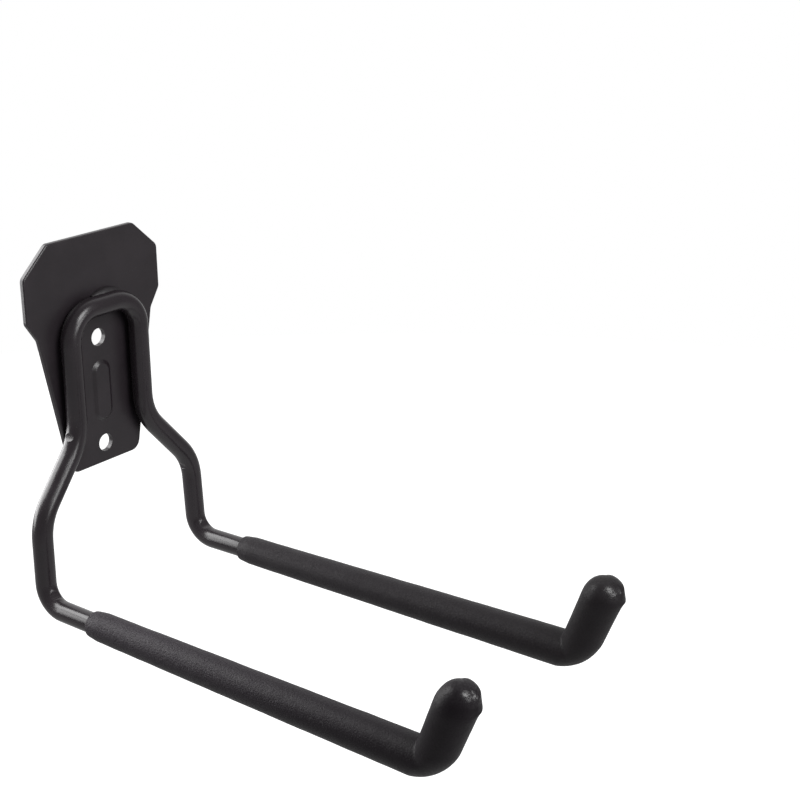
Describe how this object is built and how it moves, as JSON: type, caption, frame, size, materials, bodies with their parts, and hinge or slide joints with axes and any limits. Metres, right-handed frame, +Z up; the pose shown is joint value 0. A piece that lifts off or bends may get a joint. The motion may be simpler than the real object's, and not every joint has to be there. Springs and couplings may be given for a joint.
{
  "type": "wall-mounted utility hook",
  "caption": "Wall-mounted double-arm utility hook: a steel plate with screw holes carries a bent rod whose foam-sleeved arms turn up at the tips to hold tools, hoses or ladders.",
  "frame": {"origin": "on the wall plane, midway between the two screw holes", "axes": "+Z up, +Y into the wall, +X to the right as the hook is faced; the arms reach towards -Y"},
  "size_m": [0.1048, 0.2103, 0.1442],
  "materials": {
    "coated_steel": "satin black powder coat",
    "foam": "matt fine-grained black foam"
  },
  "bodies": {
    "root": {"wall_plate": "coated_steel", "hook_rod": "coated_steel", "left_sleeve": "foam", "right_sleeve": "foam", "yoke_weld": "coated_steel"}
  },
  "joints": []
}
